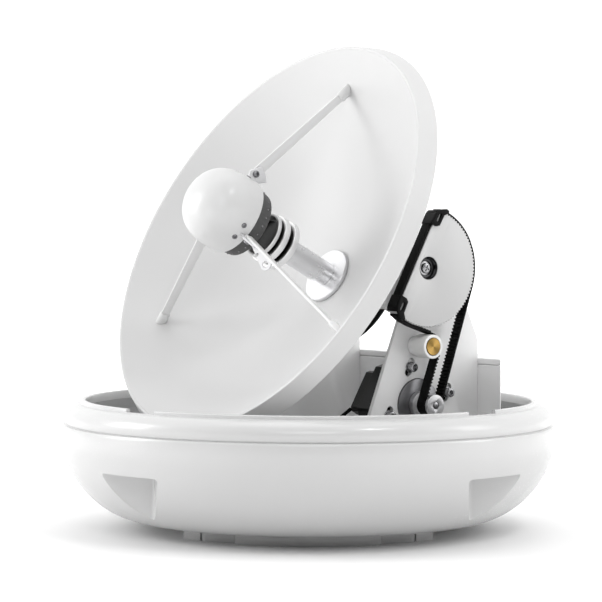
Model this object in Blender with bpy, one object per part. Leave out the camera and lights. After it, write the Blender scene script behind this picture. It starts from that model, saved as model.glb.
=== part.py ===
"""Marine satellite antenna without its cover: a round base pan, a turning frame and a tilting dish.

The origin is on the azimuth axis at the level of the feet. The front of the base faces -Y.
The frame is turned so that the dish looks to the viewer's left, and the dish is tilted up.
"""

import bmesh
import bpy
from math import acos, atan2, ceil, cos, hypot, pi, radians, sin, tau
from mathutils import Matrix, Vector

# Driving dimensions, in metres and degrees.
GAP = 0.0003
AZIMUTH = 53.9
ELEVATION = 27.7

PAN_RADIUS = 0.215
PAN_WALL = 0.004
PAN_BOTTOM = 0.0105
PAN_WIDEST = 0.0777
PAN_GROOVE = 0.0920
PAN_CURVE = 1.7177
PAN_CURVE_WIDTH = 0.063
COLLAR_RADIUS = 0.2125
LIP_RADIUS = 0.1990
LIP_INNER_RADIUS = 0.1950
LIP_TOP = 0.1135
SHOULDER_START = 0.0985
SHOULDER_TOP = 0.1100

POCKET_ANGLE = 46.4
POCKET_SKEW = 1.3
POCKET_RADIUS = 0.180
POCKET_SPREAD = 51.4
POCKET_TOP = 0.0595
POCKET_WALL = 0.0035
LIP_GAP_ANGLE = 45.15
LIP_GAP_SKEW = 0.85
LIP_GAP_HALF = 0.017

FOOT_RADIUS = 0.133
FOOT_HALF_WIDTH = 0.1055

TURNTABLE_LOW = 0.040
TURNTABLE_TOP = 0.046
TURNTABLE_RADIUS = 0.138
TURNTABLE_FRONT = 0.045

PLATE_OUTER = 0.087
PLATE_THICKNESS = 0.004
PIVOT_BEHIND = 0.0474
PIVOT_HEIGHT = 0.2294
HOUSING_FRONT = 0.1205
HOUSING_RADIUS = 0.1683
HOUSING_LOW = 0.070
HOUSING_TOP = 0.150
LID_HEIGHT = 0.0055

MOTOR_BEHIND = 0.0530
MOTOR_HEIGHT = 0.1120
MOTOR_TILT = 29.5
MOTOR_STEPS = (
    (0.0200, 0.0030, 0.0255, 0.0450),
    (0.0262, 0.0060, 0.0440, 0.0760),
    (0.0282, 0.0040, 0.0745, 0.0827),
)
PILOT_RADIUS = 0.0218
LEAD_RADIUS = 0.0017
LEAD_SIDE = 0.0300

IDLER_BEHIND = 0.0498
IDLER_HEIGHT = 0.1625
IDLER_RADIUS = 0.0103
IDLER_PIN_RADIUS = 0.0074
PINION_RADIUS = 0.0078
PINION_FLANGE_RADIUS = 0.0094
SHAFT_RADIUS = 0.0030

SECTOR_RADIUS = 0.0505
SECTOR_INNER = 0.0970
SECTOR_OUTER = 0.1080
SECTOR_CHORD = 0.0138
SECTOR_BORE = 0.0099
BELT_THICKNESS = 0.0013
BELT_INNER = 0.0975
BELT_OUTER = 0.1075
BELT_LOW_END = 229.0
BELT_HIGH_END = 75.5
STRAP_THICKNESS = 0.0027

RIM_AHEAD = 0.0500
RIM_HEIGHT = 0.2576
DISH_RADIUS = 0.1835
DISH_LIP_RADIUS = 0.1868
DISH_DEPTH = 0.082
DISH_THICKNESS = 0.0026
BAND_DEPTH = 0.0143
BAND_RADIUS = 0.1935

FEED_FLANGE_RADIUS = 0.0248
FEED_TUBE_RADIUS = 0.0108
DOME_RADIUS = 0.0347
DOME_START = 0.0317
DOME_HEIGHT = 0.0488
DOME_WALL = 0.002
SUBREFLECTOR_BACK = 0.0174
SUBREFLECTOR_RADIUS = 0.0299
STRUT_ANGLES = (90.0, 210.0, 330.0)
STRUT_START = (0.0386, 0.0330)
STRUT_FOOT_RADIUS = 0.156

# Sideways turns a flat outline (rearward, up) into the frame's Y and Z, with its thickness along X.
SIDEWAYS = Matrix(((0, 0, 1, 0), (1, 0, 0, 0), (0, 1, 0, 0), (0, 0, 0, 1)))


def clear_scene():
    for thing in list(bpy.data.objects):
        bpy.data.objects.remove(thing, do_unlink=True)


def make_material(name, colour, roughness, metallic=0.0):
    material = bpy.data.materials.new(name)
    material.use_nodes = True
    shader = material.node_tree.nodes["Principled BSDF"]
    shader.inputs["Base Color"].default_value = (*colour, 1.0)
    shader.inputs["Roughness"].default_value = roughness
    shader.inputs["Metallic"].default_value = metallic
    return material


def add_empty(name, parent=None, location=(0, 0, 0), rotation=(0, 0, 0)):
    empty = bpy.data.objects.new(name, None)
    bpy.context.scene.collection.objects.link(empty)
    empty.parent = parent
    empty.location = location
    empty.rotation_euler = rotation
    return empty


def add_object(name, shape, material, parent, smooth=True):
    """Closes the bmesh into a mesh object under its parent."""
    shape.normal_update()
    bmesh.ops.recalc_face_normals(shape, faces=shape.faces)
    mesh = bpy.data.meshes.new(name)
    shape.to_mesh(mesh)
    shape.free()
    mesh.materials.append(material)
    if smooth:
        mesh.shade_smooth()
        mesh.set_sharp_from_angle(angle=radians(35))
    thing = bpy.data.objects.new(name, mesh)
    bpy.context.scene.collection.objects.link(thing)
    thing.parent = parent
    return thing


def turned(name, profile, material, parent, segments=48, closed=False, place=None):
    """Spins a profile of (radius, height) points about Z. A closed profile makes a ring."""
    shape = bmesh.new()
    points = [shape.verts.new((radius, 0, height)) for radius, height in profile]
    edges = [shape.edges.new(pair) for pair in zip(points, points[1:])]
    if closed:
        edges.append(shape.edges.new((points[-1], points[0])))
    bmesh.ops.spin(shape, geom=points + edges, cent=(0, 0, 0), axis=(0, 0, 1), angle=tau, steps=segments)
    bmesh.ops.remove_doubles(shape, verts=shape.verts, dist=1e-6)
    if place is not None:
        shape.transform(place)
    return add_object(name, shape, material, parent)


def slab(name, outline, low, high, material, parent, place=None, smooth=True):
    """Extrudes a flat outline from low to high along its own Z, then places it."""
    shape = bmesh.new()
    face = shape.faces.new([shape.verts.new((x, y, low)) for x, y in outline])
    side = bmesh.ops.extrude_face_region(shape, geom=[face])
    raised = [item for item in side["geom"] if isinstance(item, bmesh.types.BMVert)]
    bmesh.ops.translate(shape, verts=raised, vec=(0, 0, high - low))
    if place is not None:
        shape.transform(place)
    return add_object(name, shape, material, parent, smooth)


def cut(target, cutter, operation="DIFFERENCE"):
    cutter.hide_render = True
    cutter.display_type = "WIRE"
    modifier = target.modifiers.new(operation.title(), "BOOLEAN")
    modifier.object = cutter
    modifier.operation = operation
    modifier.solver = "EXACT"


def arc(centre, radius, start, end, count):
    """Points on a circle from one angle to another, in degrees, ends included."""
    steps = [radians(start + (end - start) * step / count) for step in range(count + 1)]
    return [(centre[0] + radius * cos(angle), centre[1] + radius * sin(angle)) for angle in steps]


def ring_outline(radius, count=40, centre=(0, 0)):
    return arc(centre, radius, 0, 360 - 360 / count, count - 1)


def rounded_box(x_low, x_high, y_low, y_high, corner, count=4):
    corners = [
        ((x_high - corner, y_high - corner), 0),
        ((x_low + corner, y_high - corner), 90),
        ((x_low + corner, y_low + corner), 180),
        ((x_high - corner, y_low + corner), 270),
    ]
    return [point for centre, start in corners for point in arc(centre, corner, start, start + 90, count)]


def pan_curve(inset, count):
    """The pan's lower outline, from its widest ring down to its flat bottom."""
    points = []
    for step in range(count + 1):
        angle = step / count * pi / 2
        out = max(cos(angle), 0.0) ** (2 / PAN_CURVE)
        down = sin(angle) ** (2 / PAN_CURVE)
        radius = PAN_RADIUS - PAN_CURVE_WIDTH - inset + PAN_CURVE_WIDTH * out
        points.append((radius, PAN_WIDEST - (PAN_WIDEST - PAN_BOTTOM - inset) * down))
    return points


def make_pan(materials):
    shoulder_height = SHOULDER_TOP - SHOULDER_START
    shoulder_width = COLLAR_RADIUS - LIP_RADIUS
    shoulder = [
        (COLLAR_RADIUS - shoulder_width * (1 - cos(a)), SHOULDER_START + shoulder_height * sin(a))
        for a in (0, pi / 8, pi / 4, 3 * pi / 8, pi / 2)
    ]
    lip = [
        (LIP_RADIUS, LIP_TOP - 0.001),
        (LIP_RADIUS - 0.001, LIP_TOP),
        (LIP_INNER_RADIUS + 0.001, LIP_TOP),
        (LIP_INNER_RADIUS, LIP_TOP - 0.001),
        (LIP_INNER_RADIUS, 0.1055),
        (COLLAR_RADIUS - PAN_WALL, 0.0955),
    ]
    outer = [(0, PAN_BOTTOM)] + pan_curve(0, 10)[::-1]
    step = [(PAN_RADIUS, PAN_GROOVE - 0.001), (PAN_RADIUS - 0.001, PAN_GROOVE), (COLLAR_RADIUS, PAN_GROOVE)]
    inner = pan_curve(PAN_WALL, 8) + [(0, PAN_BOTTOM + PAN_WALL)]
    pan = turned("base_pan", outer + step + shoulder + lip + inner, materials["gloss_white"], None, 72)
    for sign_x in (-1, 1):
        for sign_y in (-1, 1):
            add_pocket(pan, sign_x, sign_y, materials)
    return pan


def add_pocket(pan, sign_x, sign_y, materials):
    """A corner notched out of the hull for a deck bolt, with walls inside the pan, and a gap in the lip."""
    name = ("left" if sign_x < 0 else "right") + ("_front" if sign_y < 0 else "_rear")

    def facing(angle, skew):
        around = radians(angle + sign_x * skew)
        return Matrix.Rotation(atan2(sign_y * cos(around), sign_x * sin(around)), 4, "Z")

    def wedge(corner):
        across, out = 0.09 * sin(radians(POCKET_SPREAD)), corner + 0.09 * cos(radians(POCKET_SPREAD))
        return [(corner, 0), (out, -across), (out, across)]

    place = facing(POCKET_ANGLE, POCKET_SKEW)
    behind = POCKET_RADIUS - POCKET_WALL / sin(radians(POCKET_SPREAD))
    white = materials["gloss_white"]
    block = slab("block_" + name, wedge(behind), 0, POCKET_TOP + POCKET_WALL, white, None, place)
    core = pan_curve(PAN_WALL / 2, 10)[::-1] + [(0, PAN_WIDEST), (0, PAN_BOTTOM + PAN_WALL / 2)]
    inside = turned("inside_" + name, core, white, None, 72, True)
    cut(block, inside, "INTERSECT")
    cut(pan, block, "UNION")
    cut(pan, slab("recess_" + name, wedge(POCKET_RADIUS), -0.01, POCKET_TOP, white, None, place))
    low, high = SHOULDER_TOP + 0.0004, LIP_TOP + 0.002
    notch = [(-LIP_GAP_HALF, low), (LIP_GAP_HALF, low), (LIP_GAP_HALF, high), (-LIP_GAP_HALF, high)]
    cut(pan, slab("notch_" + name, notch, LIP_INNER_RADIUS - 0.010, LIP_RADIUS + 0.004, white, None,
                  facing(LIP_GAP_ANGLE, LIP_GAP_SKEW) @ SIDEWAYS))


def make_base(materials):
    make_pan(materials)
    reach = (FOOT_RADIUS ** 2 - FOOT_HALF_WIDTH ** 2) ** 0.5
    edge = 90 - acos(FOOT_HALF_WIDTH / FOOT_RADIUS) / pi * 180
    pad_low, pad_high = 0.061, 0.0905

    def side(sign):
        """The rim from one flat side to the other, with the two notches for the pads."""
        points = [(-FOOT_HALF_WIDTH, reach)]
        for start, end in ((-FOOT_HALF_WIDTH, -pad_high), (-pad_low, pad_low), (pad_high, FOOT_HALF_WIDTH)):
            for step in range(9):
                x = start + (end - start) * step / 8
                points.append((x, (FOOT_RADIUS ** 2 - x ** 2) ** 0.5))
            if end < pad_high:
                points += [(end, 0.080), (-pad_low if end < -pad_low else pad_high, 0.080)]
        return [(sign * x, sign * y) for x, y in points[1:]]

    slab("foot_plate", side(1)[::-1] + side(-1)[::-1], 0, PAN_BOTTOM - GAP, materials["gloss_white"], None)
    corners = (("left_front", -1, -1), ("right_front", 1, -1), ("left_rear", -1, 1), ("right_rear", 1, 1))
    for name, sign_x, sign_y in corners:
        outline = [(pad_low + GAP, 0.0803), (pad_high - GAP, 0.0803)]
        outline += arc((pad_high - GAP - 0.008, 0.0935), 0.008, 0, 75, 5)
        outline += [(pad_low + GAP, 0.1135)]
        outline = [(sign_x * x, sign_y * y) for x, y in outline]
        slab("foot_pad_" + name, outline, 0, PAN_BOTTOM - GAP, materials["gloss_white"], None)
    floor = PAN_BOTTOM + PAN_WALL
    bearing_top = TURNTABLE_LOW - 0.006
    bearing = [(0, floor + GAP), (0.060, floor + GAP), (0.058, floor + 0.006), (0.050, floor + 0.008),
               (0.048, bearing_top), (0, bearing_top)]
    turned("azimuth_bearing", bearing, materials["grey_metal"], None, 40)


def side_plate_outline():
    """Rearward and up, from the front foot round the pivot to the rear foot."""
    rear = HOUSING_FRONT - GAP
    foot = TURNTABLE_TOP + GAP
    head = arc((PIVOT_BEHIND, PIVOT_HEIGHT), 0.018, 215, 46, 10)
    rear_edge = [(0.1085, 0.1915), (0.1145, 0.1785), (0.1168, 0.1735), (0.1188, 0.1690), (rear, 0.1640),
                 (rear, foot)]
    return [(-0.0207, foot), (0.0375, 0.1990)] + head + rear_edge


def housing_outline(radius):
    """A segment of a circle round the azimuth axis, with its flat side to the front."""
    start = atan2(HOUSING_FRONT, (radius ** 2 - HOUSING_FRONT ** 2) ** 0.5) / pi * 180
    return arc((0, 0), radius, start, 180 - start, 24)


def make_frame(materials, frame):
    white = materials["painted_white"]
    hub_top = TURNTABLE_LOW + 0.002
    hub_low = TURNTABLE_LOW - 0.006 + GAP
    hub_profile = [(0, hub_low), (0.044, hub_low), (0.044, hub_top), (0, hub_top)]
    hub = turned("turntable_hub", hub_profile, white, frame, 40)
    front = -TURNTABLE_FRONT
    half = (TURNTABLE_RADIUS ** 2 - TURNTABLE_FRONT ** 2) ** 0.5
    start = atan2(front, half) / pi * 180
    outline = arc((0, 0), TURNTABLE_RADIUS, start, 180 - start, 32)
    turntable = slab("turntable_plate", outline, TURNTABLE_LOW, TURNTABLE_TOP, white, frame)
    cut(turntable, hub, "UNION")

    bearing_hole = 0.0100
    pivot_axis = (PIVOT_BEHIND, PIVOT_HEIGHT)
    motor_axis = (MOTOR_BEHIND, MOTOR_HEIGHT)
    plates = {"near": 1, "far": -1}
    for name, side in plates.items():
        inner = PLATE_OUTER - PLATE_THICKNESS
        low, high = (inner, PLATE_OUTER) if side > 0 else (-PLATE_OUTER, -inner)
        plate = slab("side_plate_" + name, side_plate_outline(), low, high, white, frame, SIDEWAYS)
        hole = ring_outline(bearing_hole, 32, pivot_axis)
        cut(plate, slab("pivot_cut_" + name, hole, low - 0.002, high + 0.002, white, frame, SIDEWAYS))
        if side > 0:
            hole = ring_outline(PILOT_RADIUS + 0.0005, 40, motor_axis)
            cut(plate, slab("pilot_cut", hole, low - 0.002, high + 0.002, white, frame, SIDEWAYS))
        body, flange_low, flange_high = bearing_hole - GAP, PLATE_OUTER + GAP, PLATE_OUTER + 0.0035
        profile = [(0.0063, inner), (body, inner), (body, flange_low), (0.0135, flange_low),
                   (0.0125, flange_high), (0.0063, flange_high)]
        place = Matrix.Translation((0, *pivot_axis)) @ Matrix.Rotation(side * pi / 2, 4, "Y")
        turned("pivot_bearing_" + name, profile, materials["grey_metal"], frame, 32, True, place)

    lid_low = HOUSING_TOP - LID_HEIGHT
    cover = materials["housing_white"]
    slab("rear_housing", housing_outline(HOUSING_RADIUS), HOUSING_LOW, lid_low - GAP, cover, frame)
    slab("rear_housing_lid", housing_outline(HOUSING_RADIUS), lid_low, HOUSING_TOP, cover, frame)
    make_motor(materials, frame)
    make_idler_post(materials, frame)


def motor_square(half, chamfer):
    """A square with cut corners, tilted as the motor is bolted on."""
    tilt = radians(MOTOR_TILT)
    flat = half - chamfer
    corners = [(half, -flat), (half, flat), (flat, half), (-flat, half), (-half, flat), (-half, -flat),
               (-flat, -half), (flat, -half)]
    return [(MOTOR_BEHIND + x * cos(tilt) + y * sin(tilt), MOTOR_HEIGHT - x * sin(tilt) + y * cos(tilt))
            for x, y in corners]


def make_motor(materials, frame):
    inner = PLATE_OUTER - PLATE_THICKNESS
    black = materials["black_paint"]
    steps = [slab("motor_step", motor_square(half, chamfer), low, high, black, frame, SIDEWAYS)
             for half, chamfer, low, high in MOTOR_STEPS]
    motor = steps[0]
    motor.name = "elevation_motor"
    for step in steps[1:]:
        cut(motor, step, "UNION")
    disc = ring_outline(PILOT_RADIUS, 40, (MOTOR_BEHIND, MOTOR_HEIGHT))
    slab("motor_pilot", disc, inner, PLATE_OUTER + 0.0015, materials["dark_steel"], frame, SIDEWAYS)
    make_lead(materials, frame)


def make_lead(materials, frame):
    """The motor's lead: a tube from the motor's low front corner, bending down to the turntable."""
    control = ((0.0237, 0.1052), (0.0150, 0.0990), (0.0040, 0.0960), (-0.0030, 0.0850),
               (-0.0040, TURNTABLE_TOP + GAP))
    count = 12
    points = []
    for step in range(count + 1):
        share = step / count
        level = list(control)
        while len(level) > 1:
            level = [(a + (c - a) * share, b + (d - b) * share) for (a, b), (c, d) in zip(level, level[1:])]
        points.append((LEAD_SIDE, *level[0]))
    line = bpy.data.curves.new("motor_lead", "CURVE")
    line.dimensions = "3D"
    line.bevel_depth = LEAD_RADIUS
    line.bevel_resolution = 2
    line.use_fill_caps = True
    route = line.splines.new("POLY")
    route.points.add(count)
    for point, place in zip(route.points, points):
        point.co = (*place, 1)
    line.materials.append(materials["black_rubber"])
    lead = bpy.data.objects.new("motor_lead", line)
    bpy.context.scene.collection.objects.link(lead)
    lead.parent = frame


def make_idler_post(materials, frame):
    centre = (IDLER_BEHIND, IDLER_HEIGHT)
    post, pin = ring_outline(0.0085, 32, centre), ring_outline(IDLER_PIN_RADIUS, 32, centre)
    slab("idler_post", post, PLATE_OUTER + GAP, 0.0937, materials["painted_white"], frame, SIDEWAYS)
    slab("idler_pin", pin, 0.0940, 0.1124, materials["brass"], frame, SIDEWAYS)


def make_idler_roller(materials, axis):
    profile = [(IDLER_PIN_RADIUS + GAP, 0.0942), (IDLER_RADIUS, 0.0942), (IDLER_RADIUS, 0.1115),
               (IDLER_RADIUS - 0.0005, 0.1120), (IDLER_PIN_RADIUS + GAP, 0.1120)]
    along_axis = Matrix.Rotation(pi / 2, 4, "Y")
    turned("idler_roller", profile, materials["nylon_white"], axis, 32, True, along_axis)


def make_pinion(materials, axis):
    profile = [(SHAFT_RADIUS + GAP, 0.0890), (0.0113, 0.0890), (0.0113, 0.0950), (0.0092, 0.0955),
               (0.0092, 0.0968), (PINION_RADIUS, 0.0968), (PINION_RADIUS, 0.1082),
               (PINION_FLANGE_RADIUS, 0.1085),
               (PINION_FLANGE_RADIUS, 0.1115), (PINION_FLANGE_RADIUS - 0.0005, 0.1120),
               (SHAFT_RADIUS + GAP, 0.1120)]
    turn = Matrix.Rotation(pi / 2, 4, "Y")
    turned("drive_pinion", profile, materials["aluminium"], axis, 32, True, turn)
    start, end = PLATE_OUTER + 0.0018, 0.1117
    turned("motor_shaft", [(0, start), (SHAFT_RADIUS, start), (SHAFT_RADIUS, end), (0, end)],
           materials["grey_metal"], axis, 24, False, turn)


def tangent_run(start, start_radius, end, end_radius):
    """The straight run between two circles. A radius above 0 has its circle on the left of the travel."""
    across, up = end[0] - start[0], end[1] - start[1]
    normal = atan2(up, across) + acos((end_radius - start_radius) / hypot(across, up))
    left = (cos(normal), sin(normal))
    return [(centre[0] - radius * left[0], centre[1] - radius * left[1])
            for centre, radius in ((start, start_radius), (end, end_radius))]


def belt_outline():
    """The belt's path round the sector, the idler and the pinion, as an inner and an outer line."""
    half = BELT_THICKNESS / 2
    sector = (PIVOT_BEHIND, PIVOT_HEIGHT)
    idler = (IDLER_BEHIND, IDLER_HEIGHT)
    pinion = (MOTOR_BEHIND, MOTOR_HEIGHT)
    sector_radius = SECTOR_RADIUS + GAP + half
    idler_radius = -(IDLER_RADIUS + GAP + half)
    pinion_radius = PINION_RADIUS + GAP + half
    first = tangent_run(sector, sector_radius, idler, idler_radius)
    second = tangent_run(idler, idler_radius, pinion, pinion_radius)
    third = tangent_run(pinion, pinion_radius, sector, sector_radius)

    def bearing(centre, point):
        return atan2(point[1] - centre[1], point[0] - centre[0]) / pi * 180

    def wrap(centre, start, end, anticlockwise, step):
        low, high = bearing(centre, start), bearing(centre, end)
        if anticlockwise and high < low:
            high += 360
        if not anticlockwise and high > low:
            high -= 360
        count = max(2, ceil(abs(high - low) / step))
        return [low + (high - low) * number / count for number in range(count + 1)]

    leave = bearing(sector, first[0]) % 360
    arrive = bearing(sector, third[1])
    path = [(sector, 1, sector_radius, angle) for angle in (BELT_LOW_END, (BELT_LOW_END + leave) / 2, leave)]
    path += [(idler, -1, -idler_radius, angle) for angle in wrap(idler, first[1], second[0], False, 12)]
    path += [(pinion, 1, pinion_radius, angle) for angle in wrap(pinion, second[1], third[0], True, 15)]
    count = 16
    path += [(sector, 1, sector_radius, arrive + (BELT_HIGH_END - arrive) * number / count)
             for number in range(count + 1)]
    outer = [(c[0] + (r + side * half) * cos(radians(a)), c[1] + (r + side * half) * sin(radians(a)))
             for c, side, r, a in path]
    inner = [(c[0] + (r - side * half) * cos(radians(a)), c[1] + (r - side * half) * sin(radians(a)))
             for c, side, r, a in path]
    return outer + inner[::-1]


def make_belt(materials, frame):
    slab("drive_belt", belt_outline(), BELT_INNER, BELT_OUTER, materials["black_rubber"], frame, SIDEWAYS)


def dish_front(radius):
    """Height of the reflector's face above its rim plane, at a radius."""
    return -DISH_DEPTH + DISH_DEPTH * (radius / DISH_RADIUS) ** 2


def dish_back(radius):
    return dish_front(radius) - DISH_THICKNESS - 0.0022 * (radius / DISH_RADIUS) ** 2


def make_reflector(materials, dish):
    """The dish frame has its origin at the rim's centre and +Z along the dish's line of sight."""
    radii = [DISH_RADIUS * step / 12 for step in range(13)]
    front = [(radius, dish_front(radius)) for radius in radii]
    back = [(radius * (DISH_RADIUS + 0.0004) / DISH_RADIUS, dish_back(radius)) for radius in radii]
    rim = [(DISH_RADIUS + 0.0008, 0.0006), (DISH_LIP_RADIUS - 0.0010, 0.0006), (DISH_LIP_RADIUS, -0.0004),
           (BAND_RADIUS, -BAND_DEPTH), (BAND_RADIUS - 0.0026, -BAND_DEPTH)]
    turned("dish_reflector", front + rim + back[::-1], materials["dish_white"], dish, 72)

    hub_radii = [0.046 * step / 4 for step in range(5)]
    hub = [(radius, dish_back(radius) - GAP) for radius in hub_radii]
    hub_back = -DISH_DEPTH - DISH_THICKNESS - 0.0090
    turned("dish_hub", hub + [(0.046, hub_back), (0, hub_back)], materials["painted_white"], dish, 40)


def make_feed(materials, dish):
    flange_low = dish_front(FEED_FLANGE_RADIUS) + GAP
    flange_top = flange_low + 0.0036
    rim = FEED_FLANGE_RADIUS
    flange = [(0, flange_low), (rim, flange_low), (rim, flange_top - 0.0006), (rim - 0.0006, flange_top),
              (0, flange_top)]
    turned("feed_flange", flange, materials["aluminium"], dish, 48)
    tube_low, tube_top = flange_top + GAP, -0.0238
    tube = [(0, tube_low), (FEED_TUBE_RADIUS, tube_low), (FEED_TUBE_RADIUS, tube_top), (0, tube_top)]
    turned("feed_tube", tube, materials["aluminium"], dish, 32)
    core = 0.0150
    rings = ((0.0226, -0.0235, -0.0175), (0.0222, -0.0130, -0.0069), (0.0208, -0.0036, 0.0004))
    profile = [(0, rings[0][1])]
    for radius, low, high in rings:
        profile += [(core, low), (radius, low), (radius, high), (core, high)]
    profile = profile[:1] + profile[2:]
    mouth = rings[-1][2]
    profile += [(0.0125, mouth), (0.0110, mouth - 0.006), (0, mouth - 0.006)]
    turned("feed_horn", profile, materials["aluminium"], dish, 40)

    back = SUBREFLECTOR_BACK
    edge, seat = SUBREFLECTOR_RADIUS, 0.0319
    cone = [(0, back + 0.004), (0.010, back + 0.0015), (edge - 0.0015, back), (edge, back + 0.0006),
            (seat, DOME_START + 0.0010), (seat, DOME_START + 0.0040), (0, DOME_START + 0.0040)]
    turned("subreflector", cone, materials["dark_grey"], dish, 48)

    def dome(radius, height, count):
        steps = [step / count for step in range(count + 1)]
        return [(radius * (1 - share ** 3.6) ** 0.52, DOME_START + height * share) for share in steps]

    outer = dome(DOME_RADIUS, DOME_HEIGHT, 12)
    inner = dome(DOME_RADIUS - DOME_WALL, DOME_HEIGHT - DOME_WALL, 9)
    outer[-1] = (0, outer[-1][1])
    inner[-1] = (0, inner[-1][1])
    turned("subreflector_dome", outer[::-1] + inner, materials["dome_white"], dish, 48)


def make_struts(materials, dish):
    """Three thin blades, edge on to the line of sight, from brackets at the dome's rim to the dish."""
    white = materials["feed_white"]
    foot = Vector((STRUT_FOOT_RADIUS, 0, dish_front(STRUT_FOOT_RADIUS)))
    start = Vector((STRUT_START[0], 0, STRUT_START[1]))
    along = (foot - start).normalized()
    across = Vector((-along.z, 0, along.x))
    names = ("top", "left", "right")
    for name, angle in zip(names, STRUT_ANGLES):
        turn = Matrix.Rotation(radians(angle), 4, "Z")
        blade = make_blade("strut_" + name, start, foot - along * 0.009, across, white, dish, turn)
        cut(blade, make_strut_foot(foot, along, across, white, dish, turn), "UNION")
        outline = [(0.0351, 0.0265), (0.0351, 0.0385), (0.0421, 0.0385), (0.0501, 0.0300), (0.0456, 0.0225),
                   (0.0401, 0.0190)]
        edge_on = Matrix(((1, 0, 0, 0), (0, 0, -1, 0), (0, 1, 0, 0), (0, 0, 0, 1)))
        slab("strut_bracket_" + name, outline, 0.0010 + GAP, 0.0033, materials["aluminium"], dish,
             turn @ edge_on)


def make_blade(name, start, end, across, material, dish, turn):
    shape = bmesh.new()
    bmesh.ops.create_cube(shape, size=1)
    length = (end - start).length
    along = (end - start).normalized()
    for point in shape.verts:
        share = point.co.x + 0.5
        half_width = 0.0044 - 0.0010 * share
        side = 1 if point.co.z > 0 else -1
        thick = point.co.y * 0.0020
        point.co = start + along * (length * share) + across * (side * half_width) + Vector((0, thick, 0))
    bmesh.ops.transform(shape, matrix=turn, verts=shape.verts)
    return add_object(name, shape, material, dish, smooth=False)


def make_strut_foot(foot, along, across, material, dish, turn):
    """A rounded sleeve whose lower end follows the dish's face."""
    shape = bmesh.new()
    count = 20
    rows = []
    for distance, size in ((-0.013, 0.85), (-0.011, 1.0), (None, 1.0)):
        row = []
        for number in range(count):
            angle = tau * number / count
            offset = across * (0.0048 * size * cos(angle)) + Vector((0, 0.0034 * size * sin(angle), 0))
            if distance is None:
                point = foot + offset
                for _ in range(12):
                    point = point + along * ((point.z - dish_front(hypot(point.x, point.y)) - 0.0004) * 0.6)
            else:
                point = foot + offset + along * distance
            row.append(shape.verts.new(turn @ point))
        rows.append(row)
    shape.faces.new(rows[0])
    shape.faces.new(rows[-1][::-1])
    for upper, lower in zip(rows, rows[1:]):
        for number in range(count):
            following = (number + 1) % count
            shape.faces.new((upper[number], lower[number], lower[following], upper[following]))
    return add_object("strut_foot", shape, material, dish)


def make_sector(materials, pivot):
    """The sector and its clamps. The pivot frame has X along its axis, Y up the dish and Z forward."""
    corner = acos(SECTOR_CHORD / SECTOR_RADIUS) / pi * 180
    outline = arc((0, 0), SECTOR_RADIUS, 90 + corner, 450 - corner, 48)
    white = materials["sector_white"]
    sector = slab("sector_pulley", outline, SECTOR_INNER, SECTOR_OUTER, white, pivot, SIDEWAYS)
    low, high = SECTOR_INNER - 0.002, SECTOR_OUTER + 0.002
    cut(sector, slab("sector_bore_cut", ring_outline(SECTOR_BORE, 32), low, high, white, pivot, SIDEWAYS))
    strap_face = SECTOR_CHORD + GAP
    top = strap_face + STRAP_THICKNESS
    strap = [(-0.0337, strap_face), (0.0337, strap_face), (0.0337, top), (-0.0337, top)]
    slab("belt_tail", strap, BELT_INNER, BELT_OUTER, materials["black_rubber"], pivot, SIDEWAYS)
    for name, side in (("upper", 1), ("lower", -1)):
        make_clamp(name, side, strap_face, materials["black_plastic"], pivot)


def make_clamp(name, side, strap_face, plastic, pivot):
    """A belt clamp: a bar across the flat of the sector, and a cheek with a window over its corner."""
    top = strap_face + STRAP_THICKNESS + 0.0002
    bar = [(0.0340, strap_face), (0.0484, strap_face), (0.0480, strap_face + 0.0012),
           (0.0460, strap_face + 0.0024), (0.0430, top), (0.0340, top)]
    cheek = [(0.0345, 0.0112), (0.0366, 0.0085), (0.0466, 0.0080), (0.0505, 0.0045), (0.0524, 0.0052),
             (0.0528, 0.0080), (0.0508, 0.0115), (0.0480, 0.0150), (0.0440, 0.0172), (0.0345, 0.0176)]
    window = rounded_box(0.0385, 0.0465, 0.0105, 0.0135, 0.0012, 3)
    outlines = [[(side * across, out) for across, out in outline] for outline in (bar, cheek, window)]
    clamp = slab("belt_clamp_" + name, outlines[0], 0.0965, 0.1096, plastic, pivot, SIDEWAYS)
    cheek_low = SECTOR_OUTER + 2 * GAP
    cut(clamp, slab("cheek_" + name, outlines[1], cheek_low, 0.1110, plastic, pivot, SIDEWAYS), "UNION")
    cut(clamp, slab("window_cut_" + name, outlines[2], 0.1060, 0.1130, plastic, pivot, SIDEWAYS))


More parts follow.
